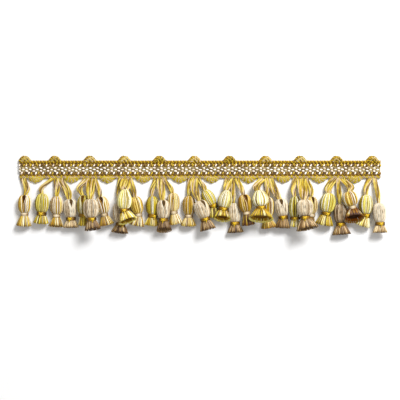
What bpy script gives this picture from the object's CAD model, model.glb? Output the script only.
"""A run of tassel fringe trim laid face up: stitched heading braid, gimp edge cords and floss tassels."""

import math
from types import SimpleNamespace

import bmesh
import bpy
import numpy as np
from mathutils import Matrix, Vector


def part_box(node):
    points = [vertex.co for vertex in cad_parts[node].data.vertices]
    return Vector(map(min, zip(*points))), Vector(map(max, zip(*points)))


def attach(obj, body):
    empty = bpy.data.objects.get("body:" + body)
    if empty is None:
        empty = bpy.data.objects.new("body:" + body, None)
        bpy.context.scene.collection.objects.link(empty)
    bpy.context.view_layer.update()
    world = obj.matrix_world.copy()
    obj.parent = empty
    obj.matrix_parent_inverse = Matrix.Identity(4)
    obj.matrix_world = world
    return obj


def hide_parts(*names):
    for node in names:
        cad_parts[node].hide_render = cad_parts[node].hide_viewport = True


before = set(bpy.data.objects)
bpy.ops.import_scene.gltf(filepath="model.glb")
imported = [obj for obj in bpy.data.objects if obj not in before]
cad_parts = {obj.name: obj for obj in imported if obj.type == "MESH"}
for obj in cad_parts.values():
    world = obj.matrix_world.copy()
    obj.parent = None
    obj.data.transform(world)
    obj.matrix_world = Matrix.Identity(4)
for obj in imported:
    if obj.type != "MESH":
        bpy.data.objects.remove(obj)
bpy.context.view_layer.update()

MM = 0.001
rng = np.random.default_rng(1207)

# Camera, straight above: what it looks at and how much it sees, in millimetres.
VIEW_MIDDLE = (0.0, -25.3)
VIEW_WIDE = 320.0
LENS = 100.0
SENSOR = 36.0
# Light, in metres: one soft lamp at the upper right, in a pale room.
LAMP_PLACE = (0.55, 0.75, 0.95)
LAMP_AIM = (0, -0.02, 0)
LAMP_SIZE = 0.5
LAMP_POWER = 21.0
ROOM_COLOUR = (1, 0.99, 0.97, 1)
ROOM_STRENGTH = 0.5
TABLE_HALF = 3.0

# Heading, in millimetres, as the solids have it.
TRIM_HALF = 144.0
TRIM_LONG = 2 * TRIM_HALF
BAND_EDGES = (-5.9, 3.7)
BAND_HIGH = 1.5
TOP_CORD_Y = 5.1
LOWER_CORD_Y = -7.0
TOP_LOOPS_X = [-140, -116, -88, -60.4, -32.4, -4.4, 23.6, 52.4, 80, 109.2, 137.6]
SCALLOPS_X = [-131.2, -102.6, -74, -45.4, -16.3, 9.3, 38.8, 66.4, 95, 123.6]

# Tassels, in millimetres, as the solids have them.
NECK_RADIUS = 3.1
BOUND_NECK_RADIUS = 2.6
NECK_SINK = 1.15
BULB_DEPTH = 0.72
BULB_SINK = 0.93
SKIRT_DEPTH = 0.62
SKIRT_TALLEST = 4.6
HEM_EDGE_TURN = math.radians(24)
# How much farther the upper side of a closed skirt reaches than its sides.
HEM_BOW = 0.9
HANGER_ROOT_Y = -8.9
HANGER_ROOT_Z = 1.1
HANGER_INTO_BULB = 2.0
# Under this rise a tassel lies flat on the table.
LYING_FLAT = 0.1

# A tassel's gape is how much farther its underside reaches than its sides, which opens its mouth to view. Its
# head_share is how much of its rise its head has. Its strands are those of its hanger.
TASSEL_COLUMNS = (
    "number yarn root_x bow head_x head_y neck_x neck_y hem_x hem_y bulb_wide hem_wide gape "
    "head_share strands"
).split()
TASSEL_ROWS = [
    (1, "amber", -141.2, 2.2, -139.6, -21.3, -139.8, -36.6, -140.4, -45.7, 10.6, 11.2, 0, 1, 2),
    (2, "yellow", -118.8, -4.0, -125.4, -20.1, -126.2, -36.2, -126.8, -43.7, 11.2, 11.4, 0, 1, 2),
    (3, "amber", -115.3, 0.4, -114.2, -22.4, -114.3, -37.9, -114.8, -46.5, 10.4, 11.0, 0.8, 1, 2),
    (4, "taupe", -112.0, 1.6, -103.5, -24.6, -102.9, -40.2, -102.7, -47.3, 10.6, 11.4, 0.5, 1, 3),
    (5, "yellow", -91.4, -4.2, -92.3, -21.4, -92.5, -37.4, -92.5, -45.3, 10.0, 7.8, 0, 1, 2),
    (6, "taupe", -87.8, 0.2, -86.2, -24.6, -85.6, -40.4, -84.4, -48.7, 12.0, 12.2, 1.0, 1, 3),
    (7, "amber", -84.2, 1.0, -79.6, -22.9, -76.2, -37.2, -74.4, -44.9, 10.6, 11.6, 0, 1, 2),
    (8, "yellow", -59.8, 0.0, -59.7, -18.1, -60.0, -33.4, -56.8, -42.1, 11.8, 14.0, 2.0, 0.4, 4),
    (9, "amber", -56.4, 0.6, -52.2, -22.9, -48.8, -37.2, -50.4, -45.3, 10.2, 11.8, 0, 1, 2),
    (10, "taupe", -63.2, -0.6, -64.4, -27.7, -63.2, -44.3, -64.0, -51.3, 10.8, 12.8, 1.0, 1, 2),
    (11, "yellow", -35.5, -1.2, -37.8, -22.4, -37.8, -37.9, -38.6, -45.3, 10.4, 11.0, 0, 1, 2),
    (12, "taupe", -32.0, 0.2, -29.2, -25.4, -28.9, -40.9, -28.4, -49.7, 10.2, 11.5, 2.0, 1, 3),
    (13, "amber", -28.5, 1.6, -21.4, -19.8, -20.9, -35.4, -19.2, -44.1, 9.6, 10.5, 0, 1, 2),
    (14, "amber", -8.4, -0.2, -8.7, -22.1, -9.0, -38.2, -9.2, -45.7, 9.8, 11.4, 0, 1, 2),
    (15, "taupe", -5.1, -1.4, -0.7, -25.9, 4.2, -40.6, 6.4, -48.9, 11.4, 12.0, 0.5, 1, 3),
    (16, "yellow", -1.8, 1.2, 3.6, -17.7, 10.4, -29.8, 10.0, -38.9, 9.8, 9.6, 0, 1, 2),
    (17, "yellow", 22.4, -0.4, 21.6, -18.9, 18.4, -32.2, 17.6, -40.5, 11.2, 12.8, 2.6, 0.5, 3),
    (18, "taupe", 25.8, 0.0, 26.9, -27.7, 27.9, -43.9, 28.3, -51.3, 10.4, 12.3, 0.5, 1, 2),
    (19, "amber", 29.2, 0.6, 34.4, -21.1, 37.0, -35.7, 38.4, -44.9, 10.4, 9.8, 0, 1, 2),
    (20, "yellow", 49.2, -3.4, 46.8, -18.9, 48.4, -31.1, 48.0, -40.5, 13.4, 18.6, 3.0, 0.5, 3),
    (21, "amber", 52.6, 0.6, 54.2, -23.1, 53.8, -40.1, 55.0, -47.1, 9.8, 12.0, 0, 1, 2),
    (22, "taupe", 55.8, -0.4, 63.8, -24.6, 66.3, -39.0, 65.9, -47.7, 10.8, 11.0, 0.4, 1, 3),
    (23, "yellow", 76.4, -1.6, 75.5, -22.4, 75.4, -39.7, 75.4, -46.1, 9.6, 6.8, 0, 1, 2),
    (24, "taupe", 80.6, 0.2, 82.2, -25.0, 82.7, -39.0, 84.6, -48.1, 12.4, 17.0, 1.4, 1, 4),
    (25, "amber", 84.6, 1.6, 88.8, -22.6, 88.8, -37.4, 87.6, -43.7, 9.8, 7.6, 0, 1, 2),
    (26, "yellow", 106.6, -1.8, 103.0, -19.8, 100.4, -36.2, 98.8, -44.9, 12.0, 13.4, 0, 1, 3),
    (27, "taupe", 110.0, 0.2, 111.9, -28.5, 112.2, -44.6, 112.8, -52.9, 11.0, 14.0, 0.5, 1, 2),
    (28, "amber", 113.3, 3.6, 117.5, -18.6, 120.8, -31.0, 122.0, -40.5, 11.4, 15.4, 3.4, 0.5, 3),
    (29, "yellow", 135.4, -1.2, 132.5, -21.1, 132.0, -37.4, 129.2, -45.7, 10.8, 11.5, 0, 1, 2),
    (30, "taupe", 139.4, 0.8, 142.0, -27.7, 143.0, -44.1, 143.0, -51.3, 10.2, 11.0, 0.4, 1, 2),
]

# How much deeper the dye of a tassel's bulb is than its kind's.
TONES = {
    2: 0.1, 4: 0.03, 5: 0.19, 6: 0.11, 7: -0.14, 8: -0.15, 10: 0.25, 11: 0.2, 12: 0.06, 13: -0.14, 14: 0.22,
    15: -0.03, 16: 0.08, 17: -0.05, 18: -0.18, 19: 0.15, 20: -0.22, 21: 0.2, 22: -0.1, 23: 0.22, 24: 0.05,
    26: 0.04, 27: 0.45, 28: 0.11, 30: -0.09,
}
# The same for its skirt.
SKIRT_TONES = {
    1: -0.03, 2: 0.1, 3: 0.02, 4: -0.1, 5: 0.1, 6: 0.19, 7: -0.05, 8: -0.2, 9: -0.1, 10: 0.22, 11: 0.2,
    12: 0.45, 13: -0.2, 14: -0.14, 15: 0.23, 16: 0.55, 17: 0.12, 18: 0.2, 19: 0.8, 20: 0.15,
    22: 0.3, 23: -0.15, 24: 0.12, 25: 0.3, 26: 0.08, 27: 0.26, 28: 0.28, 29: -0.3, 30: -0.14,
}
# How much deeper the ends of a skirt's floss are, by kind and where a tassel isn't as its kind.
KIND_TIPS = {"yellow": 0.1, "amber": 0.14, "taupe": 0.14}
TIP_TONES = {19: 0.3, 21: 0.25, 28: 0.7}
# Where a bulb's floss is parted at the head: the turn from the middle of the upper side, to the right.
PARTINGS = {1: 0.0, 4: 0.3, 5: -0.2, 7: 0.2, 12: 0.1, 15: 0.6, 19: 0.4, 22: 0.1, 25: 0.3}


# Shader maths


def linear(colour):
    """An (r, g, b) of 0 to 255, as seen, to a shader colour."""
    parts = [c / 255 for c in colour]
    return tuple(p / 12.92 if p <= 0.04045 else ((p + 0.055) / 1.055) ** 2.4 for p in parts) + (1.0,)


class Value:
    """A number that a finish works out at every point; the operators add Math nodes."""

    def __init__(self, finish, socket):
        self.finish = finish
        self.socket = socket

    def math(self, operation, *values):
        return self.finish.node("ShaderNodeMath", {"operation": operation}, dict(enumerate(values)))

    def __add__(self, other):
        return self.math("ADD", self, other)

    __radd__ = __add__

    def __mul__(self, other):
        return self.math("MULTIPLY", self, other)

    __rmul__ = __mul__


class Finish:
    """One material and its nodes."""

    def __init__(self, name, **constants):
        self.material = bpy.data.materials.new(name)
        self.material.use_nodes = True
        self.tree = self.material.node_tree
        self.surface = self.tree.nodes["Principled BSDF"]
        for socket, value in constants.items():
            self.surface.inputs[socket.replace("_", " ")].default_value = value

    def node(self, kind, settings=None, inputs=None, output=0):
        made = self.tree.nodes.new(kind)
        for key, value in (settings or {}).items():
            if key == "stops":
                self.set_stops(made.color_ramp, value)
            else:
                setattr(made, key, value)
        for key, value in (inputs or {}).items():
            self.feed(made.inputs[key], value)
        return Value(self, made.outputs[output])

    def set_stops(self, ramp, stops):
        while len(ramp.elements) < len(stops):
            ramp.elements.new(0.5)
        for element, (place, colour) in zip(ramp.elements, stops):
            element.position = place
            element.color = colour

    def feed(self, socket, value):
        if isinstance(value, Value):
            self.tree.links.new(value.socket, socket)
        else:
            socket.default_value = value

    def attribute(self, name):
        return self.node("ShaderNodeAttribute", {"attribute_name": name}, output="Fac")

    def strand_way(self):
        """Round and along the strand, in turns and millimetres."""
        return self.node("ShaderNodeUVMap", {"uv_map": "strand"})

    def stretched(self, vector, scale):
        return self.node("ShaderNodeVectorMath", {"operation": "MULTIPLY"}, {0: vector, 1: scale})

    def noise(self, vector, scale, detail=2.0):
        return self.node("ShaderNodeTexNoise", {}, {"Vector": vector, "Scale": scale, "Detail": detail})

    def mixed(self, factor, a, b, blend="MIX"):
        settings = {"data_type": "RGBA", "blend_type": blend}
        return self.node("ShaderNodeMix", settings, {0: factor, 6: a, 7: b}, output=2)


# Floss has fine threads and broader flecks: their repeats round and along a strand, and how strong they are.
THREAD_REPEATS = (6.5, 0.35, 1.0)
THREAD_LIGHT = 0.3
FLECK_REPEATS = (0.7, 0.55, 1.0)
FLECK_LIGHT = 0.9
# How much of the light that threads and flecks add is taken off again.
LIGHT_OFF = 0.45
# The light on floss is a little warm: its green and blue for a red of 1.
WARM_GREEN = 0.985
WARM_BLUE = 0.91
SHEEN_SHARE = 0.13
THREAD_ROUGHNESS = 0.25
ROUGHNESS_OFF = 0.12


def floss_finish(name, shades, roughness, gloss, lift):
    """Floss: one of a few dye shades for each strand, fine threads along it, and a soft sheen."""
    finish = Finish(name, Sheen_Weight=gloss * SHEEN_SHARE, Sheen_Roughness=0.4, Specular_IOR_Level=gloss)
    stops = [(place, linear(colour)) for place, colour in shades]
    dye = finish.node("ShaderNodeValToRGB", {"stops": stops}, {"Fac": finish.attribute("shade")})
    way = finish.strand_way()
    threads = finish.noise(finish.stretched(way, THREAD_REPEATS), 1.0)
    flecks = finish.noise(finish.stretched(way, FLECK_REPEATS), 1.0)
    light = threads * THREAD_LIGHT + flecks * FLECK_LIGHT + (lift - LIGHT_OFF)
    warm = {0: light, 1: light * WARM_GREEN, 2: light * WARM_BLUE}
    tone = finish.node("ShaderNodeCombineColor", {}, warm)
    finish.feed(finish.surface.inputs["Base Color"], finish.mixed(1.0, dye, tone, "MULTIPLY"))
    dull = threads * THREAD_ROUGHNESS + (roughness - ROUGHNESS_OFF)
    finish.feed(finish.surface.inputs["Roughness"], dull)
    bump = finish.node("ShaderNodeBump", {}, {"Strength": 0.25, "Distance": 0.0002, "Height": threads})
    finish.feed(finish.surface.inputs["Normal"], bump)
    return finish.material


# Across the band, as shares of its width: where its dark side ends and its pale middle starts.
DARK_TO = 0.24
PALE_FROM = 0.34
# How much of the light yarn shows through weave and grain, and how rough the grain is.
WEAVE_LIGHT = 0.35
GRAIN_LIGHT = 0.25
GRAIN_SCALE = 900.0
BAND_ROUGHNESS = 0.65
BAND_GRAIN_ROUGHNESS = 0.2


def woven_finish(name, dark, pale, light):
    """The ground weave of the band, seen between its stitches: pale along the middle, dark at its sides."""
    finish = Finish(name, Sheen_Weight=0.1, Specular_IOR_Level=0.3)
    place = finish.node("ShaderNodeTexCoord", {}, output="Object")
    warp = finish.node("ShaderNodeTexWave", {"bands_direction": "X"}, {"Vector": place, "Scale": 280.0})
    weft = finish.node("ShaderNodeTexWave", {"bands_direction": "Y"}, {"Vector": place, "Scale": 360.0})
    weave = (warp + weft) * 0.5
    grain = finish.noise(place, GRAIN_SCALE)
    low, high = BAND_EDGES
    y = finish.node("ShaderNodeSeparateXYZ", {}, {0: place}, output="Y")
    across = y * (1 / (high - low) / MM) + low / (low - high)
    stops = [(DARK_TO, linear(dark)), (PALE_FROM, linear(pale))]
    stops += [(1 - at, colour) for at, colour in reversed(stops)]
    middle = finish.node("ShaderNodeValToRGB", {"stops": stops}, {"Fac": across})
    mixed = finish.mixed(weave * WEAVE_LIGHT + grain * GRAIN_LIGHT, middle, linear(light))
    finish.feed(finish.surface.inputs["Base Color"], mixed)
    finish.feed(finish.surface.inputs["Roughness"], grain * BAND_GRAIN_ROUGHNESS + BAND_ROUGHNESS)
    bump = finish.node("ShaderNodeBump", {}, {"Strength": 0.5, "Distance": 0.0003, "Height": weave})
    finish.feed(finish.surface.inputs["Normal"], bump)
    return finish.material


TABLE_COLOURS = ((250, 250, 250), (246, 246, 247))
TABLE_GRAIN = 40.0
TABLE_ROUGHNESS = 0.7
TABLE_GRAIN_ROUGHNESS = 0.1


def table_finish():
    finish = Finish("pale_table", Specular_IOR_Level=0.2)
    place = finish.node("ShaderNodeTexCoord", {}, output="Object")
    grain = finish.noise(place, TABLE_GRAIN)
    white, grey = (linear(colour) for colour in TABLE_COLOURS)
    finish.feed(finish.surface.inputs["Base Color"], finish.mixed(grain, white, grey))
    finish.feed(finish.surface.inputs["Roughness"], grain * TABLE_GRAIN_ROUGHNESS + TABLE_ROUGHNESS)
    return finish.material


# Dye shades, as seen, from the palest strand to the deepest.
DYES = {
    "yellow_bulb": [
        (0.0, (255, 255, 248)), (0.24, (247, 239, 134)), (0.42, (224, 205, 28)), (0.66, (186, 157, 0)),
        (0.95, (114, 90, 0)),
    ],
    "yellow_skirt": [
        (0.0, (255, 253, 228)), (0.24, (247, 232, 88)), (0.42, (220, 189, 2)), (0.66, (172, 134, 0)),
        (1.0, (92, 65, 0)),
    ],
    "amber_bulb": [
        (0.0, (255, 252, 246)), (0.24, (246, 227, 138)), (0.4, (222, 184, 32)), (0.62, (186, 140, 0)),
        (1.0, (116, 68, 0)),
    ],
    "amber_skirt": [
        (0.0, (255, 252, 230)), (0.26, (241, 216, 96)), (0.42, (208, 164, 6)), (0.64, (158, 110, 0)),
        (1.0, (82, 41, 0)),
    ],
    "taupe_bulb": [
        (0.0, (255, 250, 238)), (0.3, (238, 220, 192)), (0.62, (200, 174, 136)), (1.0, (116, 86, 50)),
    ],
    "taupe_skirt": [
        (0.0, (255, 242, 206)), (0.18, (230, 198, 144)), (0.4, (168, 130, 66)), (0.62, (124, 86, 30)),
        (1.0, (54, 26, 2)),
    ],
    "hanger": [
        (0.0, (240, 222, 112)), (0.3, (208, 177, 32)), (0.52, (174, 140, 8)), (0.7, (222, 196, 160)),
        (0.95, (120, 88, 6)),
    ],
    "tie_gold": [(0.0, (244, 204, 20)), (0.4, (174, 127, 0)), (0.9, (74, 45, 0))],
    "neck_pale": [(0.0, (255, 250, 242)), (0.5, (218, 199, 166)), (0.9, (142, 110, 64))],
    "braid_white": [(0.0, (255, 251, 250)), (0.6, (250, 239, 234)), (0.95, (224, 208, 196))],
    "braid_gold": [(0.0, (230, 196, 48)), (0.5, (196, 158, 24)), (0.95, (138, 100, 12))],
    "braid_olive": [(0.0, (208, 192, 142)), (0.5, (172, 153, 94)), (0.95, (120, 98, 48))],
    "braid_brown": [(0.0, (164, 126, 48)), (0.5, (124, 88, 32)), (0.95, (78, 50, 14))],
    "cord_gold": [(0.0, (222, 190, 34)), (0.5, (184, 142, 8)), (0.95, (106, 67, 0))],
    "cord_pink": [
        (0.0, (222, 201, 40)), (0.42, (183, 153, 12)), (0.66, (220, 196, 170)), (0.95, (110, 80, 6)),
    ],
    "yellow_inside": [(0.0, (100, 64, 0)), (0.45, (134, 92, 10)), (1.0, (224, 178, 54))],
    "amber_inside": [(0.0, (70, 38, 0)), (0.45, (66, 32, 2)), (1.0, (150, 82, 8))],
    "taupe_inside": [(0.0, (86, 64, 34)), (0.45, (110, 84, 52)), (1.0, (180, 148, 108))],
}
BAND_COLOURS = {"dark": (98, 70, 32), "pale": (160, 142, 92), "light": (192, 164, 92)}

# Roughness and gloss of a yarn, where not as the rest.
USUAL_SURFACE = (0.42, 0.6)
SURFACES = {
    "yellow_bulb": (0.3, 0.6), "amber_bulb": (0.3, 0.6), "tie_gold": (0.3, 0.45), "cord_gold": (0.45, 0.35),
    "cord_pink": (0.45, 0.35), "yellow_inside": (0.75, 0.1), "amber_inside": (0.75, 0.1),
    "taupe_inside": (0.75, 0.1),
}
# How light the palest threads of a yarn are, where not as the rest.
USUAL_LIFT = 0.73
LIFTS = {
    "braid_white": 1.06, "neck_pale": 0.84, "yellow_bulb": 0.8, "yellow_skirt": 0.8, "amber_bulb": 0.8,
    "amber_skirt": 0.8, "taupe_skirt": 0.78,
}


def make_finishes():
    made = {}
    for name, shades in DYES.items():
        roughness, gloss = SURFACES.get(name, USUAL_SURFACE)
        made[name] = floss_finish(f"{name}_floss", shades, roughness, gloss, LIFTS.get(name, USUAL_LIFT))
    made["band"] = woven_finish("band_weave", **BAND_COLOURS)
    made["table"] = table_finish()
    return made


# Strands


# The raw tube's radius, under half the step between copies, so that each copy is told from the next.
RAW_RADIUS = 0.25
MERGED_WITHIN = 1e-4


def rolled_strand(sides, rings):
    """A closed tube of length 1 with its pattern map round and along it."""
    made = bmesh.new()
    made.loops.layers.uv.new("strand")
    bmesh.ops.create_grid(made, x_segments=sides, y_segments=rings, size=0.5, calc_uvs=True)
    for vertex in made.verts:
        turn = (vertex.co.x + 0.5) * 2 * math.pi
        along = vertex.co.y + 0.5
        vertex.co = Vector((math.cos(turn) * RAW_RADIUS, math.sin(turn) * RAW_RADIUS, along))
    bmesh.ops.remove_doubles(made, verts=made.verts, dist=MERGED_WITHIN)
    open_edges = [edge for edge in made.edges if edge.is_boundary]
    caps = bmesh.ops.holes_fill(made, edges=open_edges, sides=0)["faces"]
    layer = made.loops.layers.uv.active
    for loop in (loop for face in caps for loop in face.loops):
        loop[layer].uv = (0.5, round(loop.vert.co.z))
    bmesh.ops.recalc_face_normals(made, faces=made.faces)
    mesh = bpy.data.meshes.new("strand")
    made.to_mesh(mesh)
    made.free()
    return mesh


bundles = {}


def bundle(count, sides, rings):
    """Copies of one strand side by side, each a step of 1 along X."""
    key = (count, sides, rings)
    if key not in bundles:
        obj = bpy.data.objects.new("bundle", rolled_strand(sides, rings))
        bpy.context.scene.collection.objects.link(obj)
        rows = obj.modifiers.new("copies", "ARRAY")
        rows.count = count
        rows.use_relative_offset = False
        rows.use_constant_offset = True
        rows.constant_offset_displace = (1, 0, 0)
        evaluated = obj.evaluated_get(bpy.context.evaluated_depsgraph_get())
        mesh = bpy.data.meshes.new_from_object(evaluated)
        bpy.data.objects.remove(obj)
        uv = np.empty(len(mesh.loops) * 2)
        mesh.uv_layers["strand"].uv.foreach_get("vector", uv)
        mesh.uv_layers.remove(mesh.uv_layers["strand"])
        bundles[key] = mesh, uv.reshape(-1, 2)
    mesh, uv = bundles[key]
    return mesh.copy(), uv.copy()


LEAST_LENGTH = 1e-9


def unit(vectors):
    return vectors / np.maximum(np.linalg.norm(vectors, axis=1, keepdims=True), LEAST_LENGTH)


def strand_places(mesh):
    """Which copy each point of a bundle is on, its turn round it and its place along it."""
    co = np.empty(len(mesh.vertices) * 3)
    mesh.vertices.foreach_get("co", co)
    co = co.reshape(-1, 3)
    k = np.rint(co[:, 0]).astype(int)
    return k, np.arctan2(co[:, 1], co[:, 0] - k), np.clip(co[:, 2], 0, 1)


TABLE_CLEAR = 0.02


def shaped(name, mesh, points, shade, pattern, finish):
    """The mesh with its points placed in millimetres, its shades, its pattern map and its finish."""
    points[:, 2] = np.maximum(points[:, 2], TABLE_CLEAR)
    mesh.vertices.foreach_set("co", (points * MM).ravel())
    dye = mesh.attributes.new("shade", "FLOAT", "POINT")
    dye.data.foreach_set("value", shade.astype(np.float32))
    mesh.uv_layers.new(name="strand", do_init=False).uv.foreach_set("vector", pattern.ravel())
    mesh.materials.append(finish)
    mesh.polygons.foreach_set("use_smooth", np.ones(len(mesh.polygons), dtype=bool))
    mesh.update()
    return bpy.data.objects.new(name, mesh)


def at_points(value, k, t):
    """A value at each point: from its strand and place, from its strand only, or the same for all."""
    if callable(value):
        return value(k, t)
    return np.asarray(value)[k] if np.ndim(value) else np.full(len(k), value)


def lay_strands(name, count, grid, place, thick, dye, finish):
    """Strands whose place(k, t) gives points in millimetres and ways outward; thick is half their width."""
    mesh, uv = bundle(count, *grid)
    k, turn, t = strand_places(mesh)
    step = 1e-4
    ahead = unit(place(k, np.minimum(t + step, 1))[0] - place(k, np.maximum(t - step, 0))[0])
    middles, out = place(k, t)
    out = unit(out - ahead * np.sum(out * ahead, axis=1, keepdims=True))
    side = np.cross(ahead, out)
    radius = at_points(thick, k, t)[:, None]
    points = middles + radius * (np.cos(turn)[:, None] * out + np.sin(turn)[:, None] * side)
    shade = np.clip(at_points(dye, k, t), 0, 1)
    return shaped(name, mesh, points, shade, stretched_map(mesh, uv, k, place, count), finish)


TUBE_REPEATS = 20


def lay_tube(name, grid, place, shade, finish):
    """One closed tube whose skin follows place(turn, t), in millimetres."""
    mesh, uv = bundle(1, *grid)
    k, turn, t = strand_places(mesh)
    return shaped(name, mesh, place(turn, t), shade(turn, t), uv * TUBE_REPEATS, finish)


# In how many steps a strand's length is measured, and how far its pattern starts from the last strand's.
LENGTH_STEPS = 12
START_ROUND = 7.3
START_ALONG = 3.1


def stretched_map(mesh, uv, k, place, count):
    """The pattern map, as long along each strand as the strand in millimetres, each with its own start."""
    strands = np.arange(count)
    joints = [place(strands, np.full(count, t))[0] for t in np.linspace(0, 1, LENGTH_STEPS + 1)]
    lengths = sum(np.linalg.norm(b - a, axis=1) for a, b in zip(joints[:-1], joints[1:]))
    corner = np.empty(len(mesh.loops), dtype=int)
    mesh.loops.foreach_get("vertex_index", corner)
    strand = k[corner]
    around = uv[:, 0] + strand * START_ROUND
    along = uv[:, 1] * lengths[strand] + strand * START_ALONG
    return np.column_stack([around, along])


def joined(name, objects):
    """One piece from several, put in the scene."""
    for obj in objects:
        bpy.context.scene.collection.objects.link(obj)
    first = objects[0]
    if len(objects) > 1:
        chosen = {"selected_objects": objects, "selected_editable_objects": objects}
        with bpy.context.temp_override(active_object=first, object=first, **chosen):
            bpy.ops.object.join()
    first.name = name
    first.data.name = name
    return first


# Dyes, from 0 for the palest to 1 for the deepest.
WHITE_DYES = (0, 0.08)
PALE_DYES = (0.18, 0.38)
DEEP_DYES = (0.46, 0.98)
DYE_JITTER = 0.04


def striped_shades(count, widest, whites):
    """A dye for each strand: pale and deep stripes by turns, up to so many strands wide, a share white."""
    shades = []
    while len(shades) < count:
        pale = rng.uniform(*WHITE_DYES) if rng.random() < whites else rng.uniform(*PALE_DYES)
        shades += [pale] * rng.integers(1, widest + 1)
        shades += [rng.uniform(*DEEP_DYES)] * rng.integers(1, widest + 1)
    return np.array(shades[:count]) + rng.uniform(-DYE_JITTER, DYE_JITTER, count)


FLECKED_DYES = (0.0, 0.58)
# The dyes of the deep strands among them, and how many strands are deep.
DEEP_FLECKS = (0.7, 1)
DEEP_SHARE = 0.12


def flecked_shades(count):
    """A dye for each strand, near one another, with a deeper one here and there."""
    shades = rng.uniform(*FLECKED_DYES, count)
    return np.where(rng.random(count) < DEEP_SHARE, rng.uniform(*DEEP_FLECKS, count), shades)


def yarn_shades(yarn, count, widest, whites):
    return flecked_shades(count) if yarn == "taupe" else striped_shades(count, widest, whites)


# The whitest strands take this share of a deepening, and it grows to all of it as fast as this.
WHITE_TAKES = 0.25
SHARE_GROWTH = 0.35


def deepened(shades, amount):
    """The dyes, each deeper by the amount, but white strands by less."""
    return shades + amount * np.clip(shades / SHARE_GROWTH + WHITE_TAKES, 0, 1)


# Tassels


def smoothstep(x, low, high):
    x = np.clip((x - low) / (high - low), 0, 1)
    return x * x * (3 - 2 * x)


def tassel_from(row):
    """A tassel's row of the table, with the lengths, ways and heights that follow from it."""
    tassel = SimpleNamespace(**dict(zip(TASSEL_COLUMNS, row)))
    tassel.head = np.array([tassel.head_x, tassel.head_y])
    tassel.neck = np.array([tassel.neck_x, tassel.neck_y])
    tassel.hem = np.array([tassel.hem_x, tassel.hem_y])
    tassel.gape = tassel.gape or -HEM_BOW
    tassel.bulb_long = np.linalg.norm(tassel.neck - tassel.head)
    tassel.skirt_long = np.linalg.norm(tassel.hem - tassel.neck)
    tassel.bulb_way = (tassel.neck - tassel.head) / tassel.bulb_long
    tassel.skirt_way = (tassel.hem - tassel.neck) / tassel.skirt_long
    tassel.rest_high = BULB_SINK * BULB_DEPTH * tassel.bulb_wide / 2
    tassel.neck_wide = BOUND_NECK_RADIUS if tassel.yarn == "amber" else NECK_RADIUS
    tassel.neck_high = min(tassel.neck_wide, tassel.rest_high - NECK_SINK)
    tassel.hem_up = min(tassel.hem_wide / 2 * SKIRT_DEPTH, SKIRT_TALLEST)
    tassel.rise = rise_of(tassel)
    flat_low = tassel.rest_high / math.cos(HEM_EDGE_TURN)
    tassel.hem_down = flat_low if tassel.rise < LYING_FLAT else min(tassel.hem_up, flat_low)
    return tassel


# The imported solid's bulb: how far short of the neck its outline stops, between which shares of it the bulb is
# widest and how wide it is there, and how far from its top line the nearest points lie.
SOLID_SHORT = 1.7
SOLID_WIDEST = (0.28, 0.66)
SOLID_WIDTH = 0.98
SOLID_TURN = math.radians(10)


def rise_of(tassel):
    """How high the tassel lies on its neighbours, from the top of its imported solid."""
    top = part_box(f"tassel_{tassel.number:02d}")[1][2] / MM
    widest = SOLID_WIDTH * BULB_DEPTH * tassel.bulb_wide / 2 * math.cos(SOLID_TURN)
    tops = [(share * (tassel.bulb_long - SOLID_SHORT), widest) for share in SOLID_WIDEST]
    tops.append((tassel.bulb_long + tassel.skirt_long, tassel.hem_up * math.cos(HEM_EDGE_TURN)))
    return max(0.0, min((top - tassel.rest_high - high) / rise_share(tassel, s) for s, high in tops))


def rise_share(tassel, s):
    """How much of its rise the tassel has at s millimetres from its head."""
    along = np.clip(s / (tassel.bulb_long + tassel.skirt_long), 0, 1)
    return tassel.head_share + (1 - tassel.head_share) * along


# How far to each side of the neck the axis bends.
NECK_BEND = 2


def axis_at(tassel, s):
    """The axis at s millimetres from the head, and the way across it."""
    past = (s - tassel.bulb_long)[:, None]
    on_bulb = tassel.head + tassel.bulb_way * s[:, None]
    on_skirt = tassel.neck + tassel.skirt_way * past
    place = np.where(past < 0, on_bulb, on_skirt)
    turned = smoothstep(past, -NECK_BEND, NECK_BEND)
    ahead = unit(tassel.bulb_way * (1 - turned) + tassel.skirt_way * turned)
    high = tassel.rest_high + tassel.rise * rise_share(tassel, s)
    across = np.column_stack([-ahead[:, 1], ahead[:, 0], np.zeros(len(s))])
    return np.column_stack([place, high]), across


def round_axis(tassel, s, turn, wide, up, down):
    """Points and outward ways at a turn round the axis, where 0 is underneath."""
    place, across = axis_at(tassel, s)
    high = np.where(np.cos(turn) > 0, down, up)
    lift = np.zeros_like(place)
    lift[:, 2] = 1
    points = place + across * (wide * np.sin(turn))[:, None] - lift * (high * np.cos(turn))[:, None]
    ways = across * np.sin(turn)[:, None] - lift * np.cos(turn)[:, None]
    return points, ways


# A bulb's outline, from inside the head's opening over its lip to the neck: at each place along a strand, the
# place along the bulb and the share of half its width.
BULB_T = [0.0, 0.05, 0.10, 0.16, 0.26, 0.42, 0.60, 0.76, 0.88, 0.95, 1.0]
BULB_S = [0.10, 0.0, 0.012, 0.05, 0.16, 0.34, 0.54, 0.73, 0.88, 0.96, 1.03]
BULB_R = [0.16, 0.31, 0.51, 0.73, 0.92, 1.03, 1.03, 0.99, 0.88, 0.72, 0.57]
# How far short of the neck the bulb's length is taken, and the share of the neck's width that it closes to.
BULB_SHORT = 1.0
NECK_TUCK = 0.9
NARROW_HEAD = {"yellow": 0.14, "amber": 0.05, "taupe": 0.0}
# A yellow tassel whose mouth shows hangs straight from its floss: its head is longer and narrower.
WIDE_MOUTH = 1.5
LONG_HEAD = 1.3
LONG_HEAD_NARROW = 0.3
# Places along a strand between which a long head and a narrow head fade out, and the neck's width comes in.
LONG_ZONE = (0.1, 0.5)
NARROW_ZONE = (0.12, 0.6)
NECK_ZONE = (0.8, 1)
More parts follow.
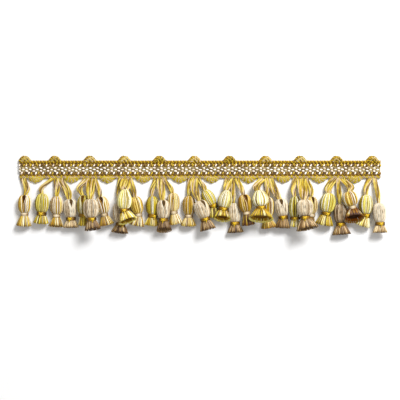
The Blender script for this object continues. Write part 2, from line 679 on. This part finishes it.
# Grooves between the lobes of a bulb, and how far inside its outline the strands' middles lie.
LOBES = 6
GROOVE = 0.4
STRAND_INSET = 0.19


def bulb_shape(tassel):
    """The bulb's place along the axis and its half width at a turn, from head (0) to neck (1)."""
    half = tassel.bulb_wide / 2
    phase = rng.uniform(0, 2 * math.pi / LOBES)
    neck_share = tassel.neck_wide * NECK_TUCK / half
    long_head = LONG_HEAD if tassel.yarn == "yellow" and tassel.gape > WIDE_MOUTH else 0.0
    narrow_head = LONG_HEAD_NARROW if long_head else NARROW_HEAD[tassel.yarn]

    def shape(turn, t):
        s = np.interp(t, BULB_T, BULB_S) * (tassel.bulb_long - BULB_SHORT)
        s = s - long_head * (1 - smoothstep(t, *LONG_ZONE))
        share = np.interp(t, BULB_T, BULB_R)
        share = share - smoothstep(t, *NECK_ZONE) * (BULB_R[-1] - neck_share)
        share = share * (1 - narrow_head * (1 - smoothstep(t, *NARROW_ZONE)))
        groove = (1 - np.abs(np.sin(LOBES / 2 * (turn - phase)))) ** 3
        return s, share * half - STRAND_INSET - GROOVE * groove * np.sin(t * math.pi)

    return shape


# From this place along a strand a bulb gets rounder towards its neck, at this rate.
ROUNDER_FROM = 0.9
ROUNDER_RATE = 1.2


def squashed(wide, t):
    """How high the bulb is where it is so wide: flat on its belly, round at its neck."""
    return wide * np.minimum(1, BULB_DEPTH + np.maximum(0, t - ROUNDER_FROM) * ROUNDER_RATE)


# How much deeper the dye is round the sides of a bulb than on its upper side.
SIDE_TONE = {"yellow": 0.4, "amber": 0.26, "taupe": 0.18}
PALEST_TURN = math.pi - 0.4
# The mean and the swing of that, round a bulb.
SIDE_MEAN = 0.459
SIDE_SWING = 0.741


def paler_on_top(turns, amount):
    """A change of dye round a bulb: palest on the upper side, a little to the right."""
    return amount * (SIDE_MEAN - SIDE_SWING * np.cos(turns - PALEST_TURN))


BULB_STRANDS = 84
BULB_GRID = (4, 11)
# The most strands in a stripe of one dye, and the share of pale stripes that are white.
BULB_STRIPE = 3
WHITE_STRIPES = 0.46
# How unevenly strands lie: in steps between strands, in turn as they wave, and in or out of the bulb.
BULB_STEPS = 0.35
BULB_SWING = 0.035
WAVES = 5
PROUD = (-0.14, 0.1)
# How far neighbouring strands swing over each other, how often, and from where along them.
CROSSED = {"yellow": 0.0, "amber": 0.0, "taupe": 0.022}
CROSSINGS = 5
CROSSED_FROM = (0.1, 0.3)
# How thick strands are for their spacing, and at least.
FULLNESS = {"yellow": 1.15, "amber": 1.15, "taupe": 1.3}
THINNEST = 0.14
# A parting pushes strands aside by so much turn, over so much turn beside it, and fades out along them.
PARTING_PUSH = 0.42
PARTING_WIDE = 0.55
PARTING_ZONE = (0.06, 0.6)


def bulb_strands(tassel, shape):
    """The bulb's floss, laid from the head's opening to the neck."""
    count = BULB_STRANDS
    turns = (np.arange(count) + rng.uniform(-BULB_STEPS, BULB_STEPS, count)) * 2 * math.pi / count
    swing = rng.uniform(-BULB_SWING, BULB_SWING, count)
    crossed = CROSSED[tassel.yarn] * (-1.0) ** np.arange(count)
    proud = rng.uniform(*PROUD, count)
    parting = PARTINGS.get(tassel.number)

    def turned(k, t):
        over = crossed[k] * np.sin(t * CROSSINGS * math.pi) * smoothstep(t, *CROSSED_FROM)
        turn = turns[k] + swing[k] * np.sin(t * WAVES + k) + over
        if parting is None:
            return turn
        away = (turns[k] + parting) % (2 * math.pi) - math.pi
        push = PARTING_PUSH * np.sign(away) * np.exp(-((away / PARTING_WIDE) ** 2))
        return turn + push * (1 - smoothstep(t, *PARTING_ZONE))

    def place(k, t):
        turn = turned(k, t)
        s, wide = shape(turn, t)
        wide = wide + proud[k] * np.sin(t * math.pi)
        high = squashed(wide, t)
        return round_axis(tassel, s, turn, wide, high, high)

    def thick(k, t):
        wide = shape(turns[k], t)[1]
        return np.maximum(THINNEST, wide * math.pi / count * FULLNESS[tassel.yarn])

    tone = TONES.get(tassel.number, 0) + paler_on_top(turns, SIDE_TONE[tassel.yarn])
    shades = deepened(yarn_shades(tassel.yarn, count, BULB_STRIPE, WHITE_STRIPES), tone)
    return lay_strands("bulb", count, BULB_GRID, place, thick, shades, finishes[f"{tassel.yarn}_bulb"])


# A skirt spreads a little past its solid's hem, opens fast at first, and is fluted round its edge.
SKIRT_SPREAD = 0.5
SKIRT_OPENING = 0.62
FLUTES = 8
FLUTE = 0.15
# How far past the neck's middle a skirt starts, and how far inside the neck's width and height.
SKIRT_START = 0.4
NECK_INSET = 0.5
NECK_INSET_UP = 0.4


def opened(t):
    """How far the skirt has opened, from the neck (0) to the hem (1)."""
    return np.clip(t, 0, 1) ** SKIRT_OPENING


def skirt_shape(tassel, turn, t, end, inward, lip):
    """The skirt's place, turn, half width and heights, from the neck (0) to its end (1)."""
    s = tassel.bulb_long + SKIRT_START + (end - SKIRT_START) * t + tassel.gape * np.cos(turn) * t
    grown = opened(t * end / tassel.skirt_long)
    lip = lip + FLUTE * np.sin(FLUTES * turn + tassel.number) * t + SKIRT_SPREAD * grown
    neck = tassel.neck_wide - NECK_INSET
    neck_up = tassel.neck_high - NECK_INSET_UP
    wide = neck + (tassel.hem_wide / 2 - inward + lip - neck) * grown
    up = neck_up + (tassel.hem_up - inward + lip - neck_up) * grown
    down = neck_up + (tassel.hem_down - inward + lip - neck_up) * grown
    return s, turn, wide, up, down


# A skirt's layers: strands, how far inside the outline they lie, how much of an open mouth's gape they are
# drawn back by, and the least height of their middles.
OUTER = SimpleNamespace(count=112, inward=0.25, drawn_back=0.0, lowest=0.3)
INNER = SimpleNamespace(count=40, inward=0.9, drawn_back=0.3, lowest=0.85)
# A skirt with more gape than this shows its inside.
OPEN_MOUTH = 1
# The lining's share in the bulb, where it starts there, how far inside the strands it lies, its least half
# width, how far down the skirt it goes where the mouth is open or closed, and its dye at that end.
LINING_GRID = (18, 18)
LINING_IN_BULB = 0.62
LINING_FROM = 0.09
LINING_INSET = 0.45
LINING_THINNEST = 0.3
LINING_DEEP = 0.62
LINING_SHALLOW = 0.5
LINING_END_DYE = 0.4


def lining(tassel, shape):
    """The dark inside of bulb and skirt, seen between strands and up the mouth."""
    end = tassel.skirt_long * (LINING_DEEP if tassel.gape > OPEN_MOUTH else LINING_SHALLOW)

    def place(turn, t):
        in_bulb = np.clip(t / LINING_IN_BULB, LINING_FROM, 1)
        s, wide = shape(turn, in_bulb)
        wide = np.maximum(wide - LINING_INSET, LINING_THINNEST)
        high = squashed(wide, in_bulb)
        bulb = round_axis(tassel, s, turn, wide, high, high)[0]
        in_skirt = np.clip((t - LINING_IN_BULB) / (1 - LINING_IN_BULB), 0, 1)
        skirt = round_axis(tassel, *skirt_shape(tassel, turn, in_skirt, end, INNER.inward, 0.0))[0]
        return np.where((t > LINING_IN_BULB)[:, None], skirt, bulb)

    def shade(turn, t):
        return LINING_END_DYE * smoothstep(t, LINING_IN_BULB, 1)

    return lay_tube("lining", LINING_GRID, place, shade, finishes[f"{tassel.yarn}_inside"])


SKIRT_GRID = (4, 6)
SKIRT_STEPS = 0.25
SKIRT_SWING = 0.05
# How uneven the ends of a wide mouth and of other skirts are.
EVEN_ENDS = 0.05
UNEVEN_ENDS = 0.13
# How much shorter a strand is for its way inside the outline.
SHORT_INSIDE = 0.8
SKIRT_FULLNESS = 1.4
SKIRT_THICKNESS = (0.15, 0.5)
# Where along a strand its deeper tip comes in.
TIP_ZONE = (0.6, 1.0)
# The dye of a wide mouth's lower rim, and the cosines of a strand's turn between which the rim starts.
MOUTH_SHADES = {"yellow": 0.2, "amber": 0.66, "taupe": 0.4}
RIM_ZONE = (-0.4, 0.2)


def skirt_strands(tassel, layer, shades, finish):
    """One layer of the skirt's floss, from the neck to the hem."""
    count = layer.count
    turns = (np.arange(count) + rng.uniform(-SKIRT_STEPS, SKIRT_STEPS, count)) * 2 * math.pi / count
    swing = rng.uniform(-SKIRT_SWING, SKIRT_SWING, count)
    short = SHORT_INSIDE * layer.inward + layer.drawn_back * max(0, tassel.gape)
    wide_mouth = tassel.gape > WIDE_MOUTH
    uneven = EVEN_ENDS if wide_mouth else UNEVEN_ENDS
    ends = tassel.skirt_long + rng.uniform(-uneven, uneven, count) - short
    lip = rng.uniform(-uneven, uneven, count)

    def place(k, t):
        turn = turns[k] + swing[k] * t
        shape = skirt_shape(tassel, turn, t, ends[k], layer.inward, lip[k] * t)
        points, ways = round_axis(tassel, *shape)
        points[:, 2] = np.maximum(points[:, 2], layer.lowest)
        return points, ways

    def thick(k, t):
        wide = skirt_shape(tassel, turns[k], t, ends[k], layer.inward, 0.0)[2]
        return np.clip(wide * math.pi / count * SKIRT_FULLNESS, *SKIRT_THICKNESS)

    tips = TIP_TONES.get(tassel.number, KIND_TIPS[tassel.yarn])

    def dye(k, t):
        shade = shades[k] + tips * smoothstep(t, *TIP_ZONE)
        if layer is INNER or not wide_mouth:
            return shade
        under = smoothstep(np.cos(turns[k]), *RIM_ZONE)
        return shade * (1 - under) + MOUTH_SHADES[tassel.yarn] * under

    return lay_strands("skirt", count, SKIRT_GRID, place, thick, dye, finish)


def curve_through(points, t):
    """A smooth curve through the points, at t from 0 to 1."""
    points = np.asarray(points, dtype=float)
    spans = len(points) - 1
    padded = np.vstack([2 * points[0] - points[1], points, 2 * points[-1] - points[-2]])
    x = np.clip(t, 0, 1) * spans
    i = np.minimum(x.astype(int), spans - 1)
    f = (x - i)[:, None]
    a, b, c, d = (padded[i + n] for n in range(4))
    return 0.5 * (2 * b + (c - a) * f + (2 * a - 5 * b + 4 * c - d) * f**2 + (3 * b - a - 3 * c + d) * f**3)


# A hanger's plies, by dye. Its strands start behind its root and rise to the head, most of it by the middle.
HANGER_PLIES = [0.05, 0.3, 0.52, 0.7, 0.95]
HANGER_GRID = (5, 16)
HANGER_BEHIND = (0.0, 3.2, -0.35)
HANGER_MIDDLE_RISE = 0.6
# The strands lie side by side, bulge and rise by chance, and close up towards the head.
HANGER_SPACING = 2
HANGER_BULGES = (-0.5, 0.5)
HANGER_RISES = (-0.2, 0.35)
HANGER_CLOSING = 0.5
HANGER_CLOSING_ZONE = (0.65, 1)
# The plies wind round their strand's middle, so far out across and up, so many times.
PLY_THICK = 0.5
PLY_ACROSS = 0.8
PLY_UP = 0.5
PLY_TWISTS = 1.4
PLY_FACING = (0.3, 0.0, 1.0)


def hanger(tassel):
    """Plied floss from under the heading to the tassel's head."""
    end = axis_at(tassel, np.array([HANGER_INTO_BULB]))[0][0]
    root = np.array([tassel.root_x, HANGER_ROOT_Y, HANGER_ROOT_Z])
    middle = (root + end) / 2
    middle[0] += tassel.bow
    middle[2] = root[2] + (end[2] - root[2]) * HANGER_MIDDLE_RISE
    points = [root + HANGER_BEHIND, root, middle, end]
    strands, plies = tassel.strands, len(HANGER_PLIES)
    bulge = rng.uniform(*HANGER_BULGES, strands)
    rise = rng.uniform(*HANGER_RISES, strands)
    spin = rng.uniform(0, 2 * math.pi, strands)

    def place(k, t):
        strand, ply = k // plies, k % plies
        line = curve_through(points, t)
        aside = (strand - (strands - 1) / 2) * HANGER_SPACING
        close = 1 - HANGER_CLOSING * smoothstep(t, *HANGER_CLOSING_ZONE)
        line[:, 0] += aside * close + bulge[strand] * np.sin(t * math.pi)
        line[:, 2] += rise[strand] * np.sin(t * math.pi)
        turn = spin[strand] + ply * 2 * math.pi / plies + t * 2 * math.pi * PLY_TWISTS
        line[:, 0] += PLY_ACROSS * close * np.cos(turn)
        line[:, 2] += PLY_UP * np.sin(turn)
        return line, np.tile(PLY_FACING, (len(k), 1))

    shades = np.concatenate([rng.permutation(HANGER_PLIES) for _ in range(strands)])
    return lay_strands("hanger", strands * plies, HANGER_GRID, place, PLY_THICK, shades, finishes["hanger"])


WINDING_GRID = (5, 26)
TURNS_WOUND = 5
# How far outside the neck a thread is wound, and half its thickness.
PALE_BINDING = {"clear": 0.3, "half": 0.27}
GOLD_TIE = {"clear": 0.58, "half": 0.3}
# Each turn starts a little farther round, lies so many half thicknesses along, and the middle ones stand out.
TURN_LAG = 0.7
TURN_STEP = 1.6
TURN_SWELL = 0.12
# The thread's dye on top, how much deeper it is at the sides, and a chance change for each turn.
UPPER_DYE = 0.26
SIDE_DYE = 0.6
TURN_DYES = (0, 0.25)


def winding(tassel, finish, clear, half):
    """Thread wound round the neck."""
    wide = tassel.neck_wide + clear
    high = tassel.neck_high + clear
    starts = rng.uniform(*TURN_DYES, TURNS_WOUND)

    def turned(k, t):
        return t * 2 * math.pi + k * TURN_LAG

    def place(k, t):
        from_middle = k - (TURNS_WOUND - 1) / 2
        s = tassel.bulb_long + from_middle * half * TURN_STEP
        swell = TURN_SWELL * np.cos(from_middle / TURNS_WOUND * math.pi)
        return round_axis(tassel, s, turned(k, t), wide + swell, high + swell, high + swell)

    def dye(k, t):
        return starts[k] + UPPER_DYE + SIDE_DYE * np.abs(np.sin(turned(k, t))) ** 1.5

    return lay_strands("winding", TURNS_WOUND, WINDING_GRID, place, half, dye, finish)


KNOT_GRID = (6, 7)
# The knot's ends: how far each leans round the neck and slips along it, and how far down its middle is.
KNOT_LEANS = np.array([0.4, -0.34, 0.14, -0.12])
KNOT_SLIPS = np.array([0.9, 0.9, 1.6, -0.7])
KNOT_DROPS = np.array([0, 0, 1.2, 0])
# How far to the left and right of the top line a knot may sit, and how far outside the neck.
KNOT_ASIDE = (-0.2, 0.5)
KNOT_CLEAR = 0.9
KNOT_CROWN = 0.35
KNOT_THICK = 0.46
KNOT_TAPER = 0.3
KNOT_DYE_STEP = 0.06


def knot(tassel):
    """The tie's knot: short bright ends crossed on the upper side."""
    wide, high = tassel.neck_wide + KNOT_CLEAR, tassel.neck_high + KNOT_CLEAR
    middle = math.pi - rng.uniform(*KNOT_ASIDE)

    def place(k, t):
        turn = middle + KNOT_LEANS[k] * (2 * t - 1)
        s = tassel.bulb_long + KNOT_SLIPS[k] * (2 * t - 1) + KNOT_DROPS[k]
        lift = KNOT_CROWN * np.sin(t * math.pi)
        return round_axis(tassel, s, turn, wide + lift, high + lift, high + lift)

    def thick(k, t):
        return KNOT_THICK * (1 - KNOT_TAPER * (1 - np.sin(t * math.pi)))

    count = len(KNOT_LEANS)
    dyes = KNOT_DYE_STEP * np.arange(count)
    return lay_strands("knot", count, KNOT_GRID, place, thick, dyes, finishes["tie_gold"])


SKIRT_STRIPE = 4
WHITE_SKIRT_STRIPES = 0.42
INNER_DYES = (0.35, 0.8)


def dress_tassel(tassel):
    shape = bulb_shape(tassel)
    shades = yarn_shades(tassel.yarn, OUTER.count, SKIRT_STRIPE, WHITE_SKIRT_STRIPES)
    shades = deepened(shades, SKIRT_TONES.get(tassel.number, 0))
    fringe = finishes[f"{tassel.yarn}_skirt"]
    inside = finishes[f"{tassel.yarn}_inside"] if tassel.gape > OPEN_MOUTH else fringe
    parts = [
        bulb_strands(tassel, shape),
        lining(tassel, shape),
        skirt_strands(tassel, OUTER, shades, fringe),
        skirt_strands(tassel, INNER, rng.uniform(*INNER_DYES, INNER.count), inside),
        hanger(tassel),
    ]
    if tassel.yarn == "amber":
        parts.append(winding(tassel, finishes["neck_pale"], **PALE_BINDING))
    piece = joined(f"tassel_{tassel.number:02d}_floss", parts)
    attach(piece, "root")
    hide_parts(f"tassel_{tassel.number:02d}")
    if tassel.yarn != "amber":
        thread = winding(tassel, finishes["tie_gold"], **GOLD_TIE)
        tie = joined(f"tie_{tassel.number:02d}_winding", [thread, knot(tassel)])
        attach(tie, "root")
        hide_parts(f"tie_{tassel.number:02d}")


# Heading


BAND_SQUARES_ALONG = 96
BAND_SQUARES_ACROSS = 8
# How much lower the band's sides are than its middle, and how thick its wall is, as shares of its height.
BAND_FALL = 0.3
BAND_WALL = 0.68


def band():
    """The heading's woven ground, a thin band that lies flat."""
    made = bmesh.new()
    bmesh.ops.create_grid(made, x_segments=BAND_SQUARES_ALONG, y_segments=BAND_SQUARES_ACROSS, size=0.5)
    low, high = BAND_EDGES
    for vertex in made.verts:
        across = vertex.co.y + 0.5
        fall = BAND_FALL * abs(2 * across - 1) ** 4
        place = (vertex.co.x * TRIM_LONG, low + (high - low) * across, BAND_HIGH * (1 - fall))
        vertex.co = Vector(place) * MM
    mesh = bpy.data.meshes.new("heading_band")
    made.to_mesh(mesh)
    made.free()
    piece = bpy.data.objects.new("heading_band", mesh)
    bpy.context.scene.collection.objects.link(piece)
    wall = piece.modifiers.new("thickness", "SOLIDIFY")
    wall.thickness = BAND_HIGH * BAND_WALL * MM
    wall.offset = -1
    mesh.materials.append(finishes["band"])
    return piece


# Rows of stitches across the heading: place, pitch, shift, slant in degrees, long, half thick, height, dye.
STITCH_COLUMNS = "y pitch shift slant long half high dye".split()
STITCH_ROWS = [
    (3.35, 2.7, 0.0, 66, 1.9, 0.6, 1.9, "braid_gold"),
    (2.3, 5.4, 0.0, 58, 2.2, 0.54, 2.2, "braid_white"),
    (2.4, 5.4, 0.34, 60, 2.5, 0.58, 1.85, "braid_brown"),
    (2.45, 5.4, 0.66, 58, 2.5, 0.64, 2.0, "braid_gold"),
    (1.1, 5.66, 0.2, -8, 3.0, 0.45, 1.85, "braid_olive"),
    (0.2, 5.66, 0.0, -8, 2.4, 0.58, 2.25, "braid_white"),
    (0.2, 5.66, 0.5, -12, 2.9, 0.54, 2.05, "braid_olive"),
    (-1.0, 5.66, 0.5, -8, 2.4, 0.56, 2.3, "braid_white"),
    (-1.0, 5.66, 0.0, -12, 2.9, 0.54, 2.05, "braid_olive"),
    (-2.2, 5.66, 0.0, -8, 2.4, 0.58, 2.25, "braid_white"),
    (-2.2, 5.66, 0.5, -12, 2.9, 0.54, 2.05, "braid_olive"),
    (-3.0, 5.66, 0.3, 6, 2.8, 0.42, 1.8, "braid_olive"),
    (-3.9, 5.66, 0.3, 58, 2.35, 0.67, 2.2, "braid_white"),
    (-4.0, 5.66, 0.64, 58, 2.5, 0.64, 2.0, "braid_gold"),
    (-4.0, 5.66, 0.98, 60, 2.5, 0.58, 1.85, "braid_brown"),
    (-5.1, 2.83, 0.5, 36, 2.2, 0.5, 1.7, "braid_brown"),
]


STITCH_GRID = (8, 6)
# How far a stitch strays along, across and up the heading, and how much it turns, in degrees.
STITCH_STRAYS = (0.18, 0.108, 0.054)
STITCH_TURNS = 9
STITCH_LONGS = (0.88, 1.12)
STITCH_CROWN = 0.3
STITCH_BLUNT = 0.06


def stitch_row(row):
    """One row of slanting stitches, each a short crowned strand."""
    row = SimpleNamespace(**dict(zip(STITCH_COLUMNS, row)))
    count = int(TRIM_LONG / row.pitch) + 1
    strays = rng.uniform(-1, 1, (count, 3)) * STITCH_STRAYS
    slants = np.radians(row.slant + rng.uniform(-STITCH_TURNS, STITCH_TURNS, count))
    longs = row.long * rng.uniform(*STITCH_LONGS, count)
    starts = -TRIM_HALF + (np.arange(count) + row.shift) * row.pitch

    def place(k, t):
        away = (t - 0.5) * longs[k]
        x = starts[k] + strays[k, 0] + away * np.cos(slants[k])
        y = row.y + strays[k, 1] + away * np.sin(slants[k])
        z = row.high + strays[k, 2] + STITCH_CROWN * np.sin(t * math.pi)
        points = np.column_stack([np.clip(x, -TRIM_HALF, TRIM_HALF), y, z])
        return points, np.tile([0.0, 0.0, 1.0], (len(k), 1))

    def thick(k, t):
        return row.half * np.sqrt(np.maximum(STITCH_BLUNT, 1 - (2 * t - 1) ** 2))

    return lay_strands("stitches", count, STITCH_GRID, place, thick, rng.random(count), finishes[row.dye])


ROPE_SIDES = 6


def rope(name, line, long, finish, half, lay, pitch, rings, shades):
    """A twisted rope along a line(t): a ply for each shade, so far out, with one twist in each pitch."""
    plies = len(shades)
    start = rng.random()
    step = 1e-3

    def place(k, t):
        ahead = unit(line(np.minimum(t + step, 1)) - line(np.maximum(t - step, 0)))
        across = np.column_stack([-ahead[:, 1], ahead[:, 0], np.zeros(len(t))])
        turn = 2 * math.pi * (k / plies + long * t / pitch + start)
        ways = across * np.cos(turn)[:, None]
        ways[:, 2] += np.sin(turn)
        return line(t) + lay * ways, ways

    return lay_strands(name, plies, (ROPE_SIDES, rings), place, half, shades, finish)


# Height of the cords' middles, and the place of the binding beside the lower cord.
TOP_CORD_Z = 1.3
LOWER_CORD_Z = 1.15
BINDING_Y = -5.7
BINDING_Z = 1.5

# Cords: half the thickness of a ply, how far out it winds, the length of a twist, the rings that shape it,
# and each ply's dye.
TOP_CORE = {"half": 0.75, "lay": 0.0, "pitch": 2.8, "rings": 24, "shades": [0.9]}
TOP_WRAP = {"half": 0.62, "lay": 0.74, "pitch": 2.8, "rings": 900, "shades": [0.2, 0.74]}
BINDING = {"half": 0.5, "lay": 0.42, "pitch": 3.4, "rings": 520, "shades": [0.26, 0.8]}
LOWER_WRAP = {"half": 0.6, "lay": 0.55, "pitch": 4.6, "rings": 620, "shades": [0.16, 0.58, 0.76]}
LOOP_PLIES = {"half": 0.54, "lay": 0.42, "pitch": 3.2, "rings": 40}
SCALLOP_PLIES = {"half": 0.48, "lay": 0.68, "rings": 60}
# Plies of loops and scallops are dyed by chance, each between two dyes, and scallops are twisted by chance.
LOOP_DYES = [(0, 0.4), (0.6, 1)]
SCALLOP_DYES = [(0, 0.12), (0.08, 0.4), (0.62, 0.72)]
SCALLOP_PITCHES = (3.6, 4.8)

# A loop or scallop: half its width, its reach, how far above its cord it starts, its peak and its length.
LOOP = SimpleNamespace(half_wide=4.4, reach=3.9, above=0.3, peak=1.35, long=14.0)
SCALLOP = SimpleNamespace(half_wide=6.1, reach=-3.8, above=0.2, peak=0.8, long=18.0)
# The strands of a loop: aside, inward of the outermost, height and dye.
LOOP_STRANDS = [
    (-0.9, 0.0, 1.2, "cord_gold"),
    (0.9, 0.1, 1.5, "cord_pink"),
    (-1.1, 0.9, 1.9, "cord_gold"),
    (1.2, 1.0, 2.1, "hanger"),
    (-0.4, 1.8, 2.3, "cord_pink"),
]
# The strands of a scallop: inward of the outermost, height and how high its lumps are.
SCALLOP_STRANDS = [(0.0, 0.9, 0.38), (0.95, 1.4, 0.38), (1.9, 1.7, 0.2), (2.8, 1.9, 0.2)]
# How much narrower half a strand is for its way inward.
SCALLOP_NARROWING = 1.2
LUMPS = 3


def straight_line(y, z):
    return lambda t: np.column_stack([(t * 2 - 1) * TRIM_HALF, np.full(len(t), y), np.full(len(t), z)])


def arc_line(x, y, z, half_wide, reach, peak, lumps=0.0):
    """A loop's line from side to side: more pointed the higher its peak, and lumpy by so many millimetres."""

    def line(t):
        swing = t * 2 - 1
        across = np.clip(x + swing * half_wide, -TRIM_HALF, TRIM_HALF)
        bow = np.maximum(0, np.cos(swing * math.pi / 2)) ** peak
        lump = lumps * np.cos(swing * LUMPS * math.pi) * np.sin(t * math.pi)
        return np.column_stack([across, y + reach * bow - lump, np.full(len(t), z)])

    return line


def top_edge_cord():
    line = straight_line(TOP_CORD_Y, TOP_CORD_Z)
    gold = finishes["cord_gold"]
    cords = [rope("core", line, TRIM_LONG, gold, **TOP_CORE), rope("wrap", line, TRIM_LONG, gold, **TOP_WRAP)]
    y = TOP_CORD_Y + LOOP.above
    for x in TOP_LOOPS_X:
        for aside, inward, z, dye in LOOP_STRANDS:
            arc = arc_line(x + aside, y, z, LOOP.half_wide - inward, LOOP.reach - inward, LOOP.peak)
            shades = [rng.uniform(*span) for span in LOOP_DYES]
            cords.append(rope("loop", arc, LOOP.long, finishes[dye], shades=shades, **LOOP_PLIES))
    return joined("top_edge_gimp", cords)


def lower_edge_cord():
    gold, pink = finishes["cord_gold"], finishes["cord_pink"]
    cords = [
        rope("binding", straight_line(BINDING_Y, BINDING_Z), TRIM_LONG, gold, **BINDING),
        rope("lower", straight_line(LOWER_CORD_Y, LOWER_CORD_Z), TRIM_LONG, pink, **LOWER_WRAP),
    ]
    y = LOWER_CORD_Y + SCALLOP.above
    for x in SCALLOPS_X:
        for inward, z, lumps in SCALLOP_STRANDS:
            half_wide = SCALLOP.half_wide - inward * SCALLOP_NARROWING
            arc = arc_line(x, y, z, half_wide, SCALLOP.reach + inward, SCALLOP.peak, lumps)
            shades = [rng.uniform(*span) for span in SCALLOP_DYES]
            pitch = rng.uniform(*SCALLOP_PITCHES)
            ply = {"pitch": pitch, "shades": shades, **SCALLOP_PLIES}
            cords.append(rope("scallop", arc, SCALLOP.long, pink, **ply))
    return joined("lower_edge_gimp", cords)


def dress_heading():
    ground = band()
    stitches = joined("heading_stitches", [stitch_row(row) for row in STITCH_ROWS])
    top = top_edge_cord()
    lower = lower_edge_cord()
    for piece in (ground, stitches, top, lower):
        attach(piece, "root")
    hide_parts("heading_braid")
    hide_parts("top_edge_cord")
    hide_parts("lower_edge_cord")


# Table, camera and light


def set_camera():
    data = bpy.data.cameras.new("camera")
    data.lens = LENS
    data.sensor_width = SENSOR
    data.clip_start = 0.01
    camera = bpy.data.objects.new("camera", data)
    distance = LENS * VIEW_WIDE / SENSOR
    camera.location = (VIEW_MIDDLE[0] * MM, VIEW_MIDDLE[1] * MM, distance * MM)
    bpy.context.scene.collection.objects.link(camera)
    bpy.context.scene.camera = camera


def set_table():
    made = bmesh.new()
    bmesh.ops.create_grid(made, x_segments=4, y_segments=4, size=TABLE_HALF)
    mesh = bpy.data.meshes.new("table_top")
    made.to_mesh(mesh)
    made.free()
    mesh.materials.append(finishes["table"])
    table = bpy.data.objects.new("table_top", mesh)
    bpy.context.scene.collection.objects.link(table)


def set_light():
    world = bpy.data.worlds.new("studio")
    bpy.context.scene.world = world
    world.use_nodes = True
    room = world.node_tree.nodes["Background"]
    room.inputs["Color"].default_value = ROOM_COLOUR
    room.inputs["Strength"].default_value = ROOM_STRENGTH
    data = bpy.data.lights.new("key", "AREA")
    data.size = LAMP_SIZE
    data.energy = LAMP_POWER
    lamp = bpy.data.objects.new("key", data)
    lamp.location = LAMP_PLACE
    aim = Vector(LAMP_AIM) - lamp.location
    lamp.rotation_euler = aim.to_track_quat("-Z", "Y").to_euler()
    bpy.context.scene.collection.objects.link(lamp)
    bpy.context.scene.view_settings.view_transform = "Standard"


set_camera()
finishes = make_finishes()
set_table()
set_light()
dress_heading()
for tassel_row in TASSEL_ROWS:
    dress_tassel(tassel_from(tassel_row))
